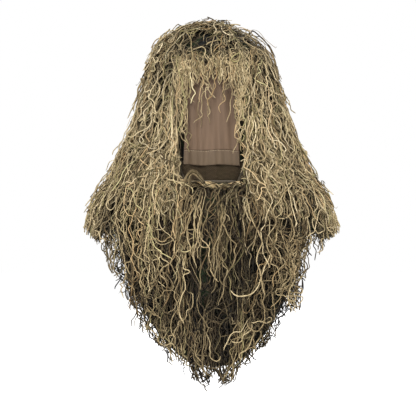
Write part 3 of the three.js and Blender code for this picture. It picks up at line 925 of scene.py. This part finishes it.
def add_tapes():
    """Every tape and narrow panel, by name."""
    made = {}

    def add(name, node, material, area, thickness, **limits):
        grid = patch_grid(*area, **limits)
        obj = sheet_mesh(name, grid, thickness, limits.get("ring", False))
        made[name] = finish_piece(obj, material, material, body_of_node(node), [node])

    def bind(name, node, top, bottom, limits, **steps):
        add(name, node, "binding", (top, bottom, *limits, TAPE_OFFSET), TAPE_THICKNESS, **steps)

    across = both_sides(0, opening_angle(BINDING_WIDTH + 2))
    add("brow_net", "brow_panel", "net", (CROWN_SEAM, BROW_EDGE, *across, NET_OFFSET),
        NET_THICKNESS)
    bind("brow_tape", "brow_binding", BROW_EDGE - SEAM_GAP, BROW_EDGE - 5.7, across,
         height_step=2.5)
    bind("chin_tape", "chin_binding", CHIN_EDGE - SEAM_GAP, NECK_SEAM + SEAM_GAP, across,
         height_step=2.5)
    for side, word in ((1, "left"), (-1, "right")):
        edge = mirrored(opening_angle(BINDING_WIDTH), opening_angle(0), side)
        bind(f"face_tape_{word}", f"face_binding_{word}", CROWN_SEAM, NECK_SEAM + SEAM_GAP, edge,
             angle_step=1.0)
        hem = mirrored(FLAP_ANGLE + 3, 177 - FLAP_ANGLE, side)
        bind(f"shoulder_tape_{word}", f"shoulder_hem_tape_{word}", SHOULDER_HEM - SEAM_GAP,
             SHOULDER_HEM - 7, hem, height_step=2.5)
    for name, centre in FLAPS.items():
        bind(f"{name}_tape", f"{name}_hem_tape", FLAP_NET_HEM + HEM_TAPE, FLAP_NET_HEM,
             both_sides(centre, flap_edge), height_step=3.0)
    add("nape_tape", "nape_seam_tape", "binding",
        (CROWN_SEAM - 3, NECK_SEAM + 3, *strip(180, 9.0), -1.6), 1.0)
    add("head_band", "sweatband", "tape", (-24, -48, 0, 360, -2.6), 2.6, height_step=3.0,
        ring=True)
    for name, offset in (("hook_tape", 3.7), ("loop_tape", 5.1)):
        add(name, f"veil_{name}", "tape", (-51, BROW_EDGE, *strip(0, 35.0), offset), 1.0,
            height_step=1.5)
    return made


VEIL_TOP = -60
VEIL_FOLD = -66
VEIL_STITCH = -203
VEIL_BOTTOM = -227
VEIL_HALF_WIDTH = 46
VEIL_FRONT = -101
VEIL_BULGE = 7
VEIL_BEND = (0, -0.101, -0.063), (0, -0.101, -0.071)
BROW_BEND = (0, -0.101, -0.062), (0, -0.101, -0.074)


def veil_grid(top, bottom, rows, columns=46, lift=0.0):
    """Points of the veil, in millimetres: it bulges over the nose and falls in soft folds."""
    share, z = np.meshgrid(np.linspace(-1, 1, columns), np.linspace(top, bottom, rows))
    down = np.clip((VEIL_FOLD - z) / (VEIL_FOLD - VEIL_BOTTOM), 0, 1)
    x = share * (VEIL_HALF_WIDTH - 2.0 * np.sin(down * np.pi))
    folds = 1.9 * np.sin(share * 8.5 + 0.8 + 1.5 * down) + 0.9 * np.sin(share * 19 + 2 - 3 * down)
    bulge = VEIL_BULGE * np.sin(down * np.pi * 0.75)
    y = VEIL_FRONT - bulge + 6 * share**2 + folds * down**0.6 - lift
    return np.stack([x, y, z + 0.9 * down * np.sin(share * 5)], -1)


def add_veil():
    grid = veil_grid(VEIL_TOP, VEIL_STITCH, 60)
    voile = sheet_mesh("voile_veil", grid, 0.35)
    finish_piece(voile, "veil", "veil", "hood", ["face_veil"], "veil", *VEIL_BEND)
    hem_grid = veil_grid(VEIL_STITCH, VEIL_BOTTOM, 14, lift=0.5)
    hem = sheet_mesh("voile_hem", hem_grid, 0.9)
    finish_piece(hem, "veil_hem", "veil", "veil", ["veil_hem"])
    stitches = add_stitches(veil_grid(VEIL_STITCH - 0.6, VEIL_STITCH - 0.8, 2, 220)[0])


def add_stitches(line, length=2.0, gap=0.9, radius=0.28):
    """Sewing stitches along a line of points in millimetres, standing on the cloth."""
    run = np.concatenate([[0], np.linalg.norm(np.diff(line, axis=0), axis=1).cumsum()])
    starts = np.arange(1.0, run[-1] - length - 1, length + gap)
    share = np.linspace(0, 1, 5)
    at = starts[:, None] + share * length
    paths = np.stack([np.interp(at, run, line[:, i]) for i in range(3)], -1)
    paths[..., 1] -= 0.75 + 0.25 * np.sin(share * np.pi)
    obj = tubes_mesh("veil_stitches", paths, np.full(at.shape, radius), 6)
    obj.data.materials.append(FINISH["thread"])
    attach(obj, "veil")
    return obj


CHIN_NET_PITCH = 2.8
CHIN_NET_RADIUS = 0.62


def add_chin_net():
    """The diagonal net below the veil: two families of crossing threads."""
    inside = opening_angle(BINDING_WIDTH + 1)
    steps, slope, reach = 14, 0.8, 86.0
    ripple = 0.35 * np.cos(np.arange(steps) * np.pi)
    paths = []
    for lean in (1, -1):
        for start in np.arange(-reach, reach, CHIN_NET_PITCH):
            def across(z):
                return start + lean * (CHIN_NET_TOP - z) * slope
            z = np.linspace(CHIN_NET_TOP, CHIN_EDGE, steps)
            z = z[np.abs(angle_at_width(across(z), z)) < inside(z)]
            if len(z) < 4:
                continue
            z = np.linspace(z[0], z[-1], steps)
            paths.append(offset_points(angle_at_width(across(z), z), level_at(z),
                                       1.0 + lean * ripple))
    radius = np.full((len(paths), steps), CHIN_NET_RADIUS)
    threads = tubes_mesh("chin_netting", np.array(paths), radius, 5)
    finish_piece(threads, "cord_net", "net", "hood", ["chin_net"])


def twisted(line, radius, turn):
    """A line wound round another one, at a distance and by an angle at each point."""
    tangent = unit(np.gradient(line, axis=0))
    side = unit(np.cross(tangent, [0.0, -1.0, 0.25]))
    other = np.cross(tangent, side)
    return line + radius[:, None] * (np.cos(turn)[:, None] * side + np.sin(turn)[:, None] * other)


def rounded(corners, steps):
    """A smooth line near the given corners, evenly divided."""
    run = np.linspace(0, len(corners) - 1, steps)
    line = np.stack([np.interp(run, range(len(corners)), c) for c in np.transpose(corners)], -1)
    reach = steps // len(corners)
    padded = np.concatenate([line[:1].repeat(reach, 0), line, line[-1:].repeat(reach, 0)])
    kernel = np.hanning(2 * reach + 3)[1:-1]
    return np.stack([np.convolve(c, kernel / kernel.sum(), "valid") for c in padded.T], -1)


def add_chin_roll():
    """The loosely twisted roll of yarn along the lower lip."""
    rng = np.random.default_rng(SEED + 300)
    steps, strands = 80, 11
    share = np.linspace(0, 1, steps)
    line = offset_points(-23 + 46 * share, np.full(steps, level_at(-262)), np.full(steps, 12.0))
    line[:, 2] += 3.0 * np.sin(share * 6.6 + 0.6) + 1.2 * np.sin(share * 17)
    paths = []
    for start in rng.uniform(0, 2 * np.pi, strands):
        turn = start + share * 2 * np.pi * rng.uniform(2.5, 4.5)
        away = rng.uniform(1.2, 4.6) + 0.9 * np.sin(share * rng.uniform(15, 30) + start)
        paths.append(twisted(line, away, turn))
    tone = rng.uniform(0.5, 0.75, strands)
    roll = strand_mesh("chin_yarn_roll", np.array(paths), rng.uniform(0.8, 1.2, strands), tone,
                       np.ones(strands), rng)
    finish_piece(roll, "yarn", "yarn", "hood", ["chin_roll"])


# The line of the bundle over the lower lip: x, z
BUNDLE_LINE = [(-10, -268), (-19, -252), (-27, -244), (-35, -251), (-37, -272), (-41, -296),
               (-47, -322), (-50, -352), (-47, -384), (-50, -418)]


def add_chin_bundle():
    """A thick bundle of yarn that loops up over the lower lip and runs down over the bib."""
    rng = np.random.default_rng(SEED + 400)
    steps, strands = 64, 9
    across, height = rounded(BUNDLE_LINE, steps).T
    line = offset_points(angle_at_width(across, height), level_at(height), np.full(steps, 27.0))
    share = np.linspace(0, 1, steps)
    paths = []
    for _ in range(strands):
        turn = rng.uniform(0, 2 * np.pi) + share * rng.uniform(-1.5, 1.5)
        path = twisted(line, rng.uniform(0.8, 3.0) * (0.9 + 4.0 * share), turn)
        path[:, 0] += rng.normal(0, 9) * share**2 + 1.6 * np.sin(share * 25 + turn) * share
        paths.append(path)
    ends = rng.uniform(0.7, 1, strands)[:, None] * steps
    points, _ = cut_off(np.array(paths), np.arange(steps) < ends)
    bundle = strand_mesh("chin_bundle", points, rng.uniform(0.75, 1.05, strands),
                         rng.normal(0.46, 0.09, strands), rng.uniform(0.6, 1, strands), rng)
    finish_piece(bundle, "yarn", "yarn", "hood", [], "bib", *YARN_BEND)


SHORT_STRANDS = 110
CORNER_STRANDS = 60
LONG_STRANDS = 14
BROW_STEPS = 40


def add_brow_strands():
    """The strands that hang from the brow in front of the veil: a ragged row of short ones,
    longest at the veil's corners, and a few long ones over the face."""
    rng = np.random.default_rng(SEED + 500)
    corner = slice(SHORT_STRANDS, SHORT_STRANDS + CORNER_STRANDS)
    count = SHORT_STRANDS + CORNER_STRANDS + LONG_STRANDS
    beside = rng.uniform(40, 56, CORNER_STRANDS) * rng.choice([-1, 1], CORNER_STRANDS)
    start = np.concatenate([rng.uniform(-50, 50, SHORT_STRANDS), beside,
                            np.linspace(-37, 37, LONG_STRANDS)])
    start += rng.normal(0, 2.0, count)
    length = rng.uniform(16, 50, count) + 45 * rng.random(count) * (np.abs(start) / 50) ** 3
    length[corner] = rng.uniform(50, 185, CORNER_STRANDS)
    length[-LONG_STRANDS:] = rng.uniform(70, 145, LONG_STRANDS)
    run = np.linspace(0, 1, BROW_STEPS) * length[:, None]
    heading = rng.normal(0, 0.9, count)[:, None] * np.exp(-run / 16)
    heading += 0.3 * noise_along(run, rng.uniform(14, 28, count), rng, 2.0)
    heading += 0.5 * noise_along(run, rng.uniform(6, 11, count), rng, SHARP_BENDS)
    stride = length[:, None] / (BROW_STEPS - 1)
    x = np.repeat(start[:, None], BROW_STEPS, 1)
    home = start * 0.85
    home[corner] = np.sign(beside) * rng.uniform(43, 52, CORNER_STRANDS)
    for step in range(1, BROW_STEPS):
        heading[:, step] -= 0.04 * (x[:, step - 1] - home)
        x[:, step] = x[:, step - 1] + np.sin(heading[:, step]) * stride[:, 0]
    height = BROW_EDGE + 20 * rng.random(count) ** 1.5
    height[corner] += rng.uniform(0, 16, CORNER_STRANDS)
    z = height[:, None] - np.cumsum(np.cos(heading) * stride, 1)
    away = rng.uniform(0, 5, count)[:, None] + 3.5 * np.sin(np.minimum(run / 120, 1) * 2.2)
    y = -111.0 - away - 1.0 * noise_along(run, rng.uniform(9, 16, count), rng)
    y += np.maximum(z - BROW_EDGE, 0) * 0.5
    radius = YARN_RADIUS * rng.uniform(0.65, 1.0, count)
    obj = strand_mesh("brow_strands", np.stack([x, y, z], -1), radius,
                      rng.normal(0.64, 0.11, count), rng.uniform(0.6, 1, count), rng)
    finish_piece(obj, "yarn", "yarn", "hood", ["brow_fringe"], "brow_strands", *BROW_BEND)


# ---- stage ----

CAMERA_AT = Vector((-0.006, -2.6, -0.297))
VIEW_WIDTH = 0.707
SENSOR_WIDTH = 36
LIGHTS_AIM = Vector((0, 0, -0.3))
FLOOR_Z = -0.66
FLOOR_RADIUS = 6
AMBIENT = 0.24


def add_camera():
    data = bpy.data.cameras.new("camera")
    data.sensor_width = SENSOR_WIDTH
    data.lens = SENSOR_WIDTH * -CAMERA_AT.y / VIEW_WIDTH
    camera = placed("camera", data)
    camera.location = CAMERA_AT
    camera.rotation_euler = (math.pi / 2, 0, 0)
    bpy.context.scene.camera = camera


def add_light(name, place, size, power):
    data = bpy.data.lights.new(name, "AREA")
    data.shape, data.size, data.energy = "DISK", size, power
    light = placed(name, data)
    light.location = place
    direction = LIGHTS_AIM - Vector(place)
    light.rotation_euler = direction.to_track_quat("-Z", "Y").to_euler()


def add_stage():
    world = bpy.data.worlds.new("studio")
    world.use_nodes = True
    nodes, links = world.node_tree.nodes, world.node_tree.links
    seen = nodes.new("ShaderNodeLightPath").outputs["Is Camera Ray"]
    strength = nodes.new("ShaderNodeMapRange")
    strength.inputs["To Min"].default_value = AMBIENT
    strength.inputs["To Max"].default_value = 1.0
    links.new(seen, strength.inputs["Value"])
    nodes["Background"].inputs["Color"].default_value = (1, 1, 1, 1)
    links.new(strength.outputs[0], nodes["Background"].inputs["Strength"])
    bpy.context.scene.world = world
    bpy.context.scene.view_settings.view_transform = "Standard"
    add_light("key", (-0.7, -2.2, 1.5), 1.0, 126)
    add_light("fill", (1.6, -2.0, 0.5), 1.6, 38)
    add_light("back", (0.3, 2.2, 1.3), 1.4, 60)
    mesh = bpy.data.meshes.new("floor")
    turn = np.linspace(0, 2 * np.pi, 64, endpoint=False)
    edge = [(FLOOR_RADIUS * math.cos(t), FLOOR_RADIUS * math.sin(t), FLOOR_Z) for t in turn]
    mesh.from_pydata(edge, [], [list(range(len(edge)))])
    floor = placed("floor", mesh)
    shader = Shader("floor_paper", Roughness=0.9, Base_Color=(0.9, 0.9, 0.9, 1),
                    Emission_Color=(1, 1, 1, 1), Emission_Strength=0.75)
    mesh.materials.append(shader.material)


add_camera()
add_stage()
add_netting(make_all_yarn(), add_tapes())
add_collar_yarn()
add_veil()
add_chin_net()
add_chin_roll()
add_chin_bundle()
add_brow_strands()
